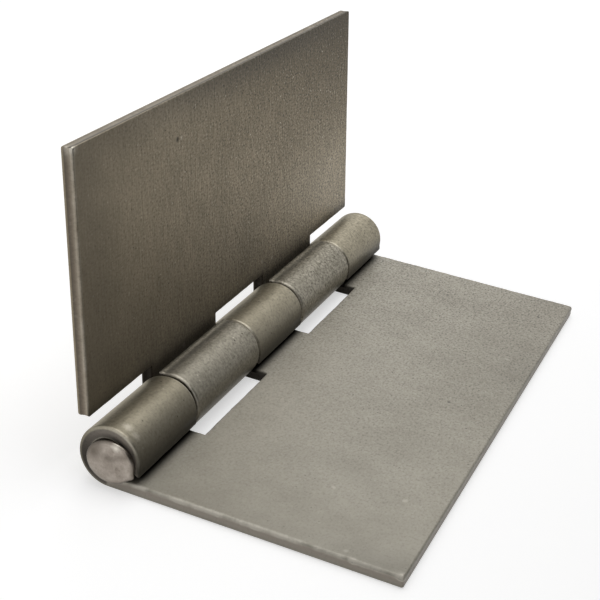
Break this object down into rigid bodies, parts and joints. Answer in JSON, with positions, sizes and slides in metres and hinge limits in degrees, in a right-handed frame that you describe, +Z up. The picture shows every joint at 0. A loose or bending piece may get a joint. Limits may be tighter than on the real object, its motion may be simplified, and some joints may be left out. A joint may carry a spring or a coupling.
{
  "type": "flat hinge",
  "caption": "Plain weld-on flat hinge in raw sheet steel: unpunched rectangular leaves with rolled interlocking knuckles that fold about a headed pin.",
  "frame": {"origin": "centre of the lying leaf's back face, halfway from the pin axis to the free edge and halfway along the pin", "axes": "+X from the pin towards the lying leaf's free edge, +Y along the pin, +Z up from the lying leaf's back"},
  "size_m": [0.0558, 0.1024, 0.0505],
  "materials": {
    "leaf_steel": "raw rolled sheet, dull satin",
    "pin_steel": "bare upset head, satin"
  },
  "bodies": {
    "lying_leaf": {"three_knuckle_leaf": "leaf_steel", "hinge_pin": "pin_steel"},
    "standing_leaf": {"two_knuckle_leaf": "leaf_steel"}
  },
  "joints": [
    {"name": "leaf_fold", "type": "hinge", "parent": "lying_leaf", "child": "standing_leaf", "pos_m": [-0.023, 0, 0.00505], "axis": [0, -1, 0], "range_deg": [-103, 84]}
  ]
}
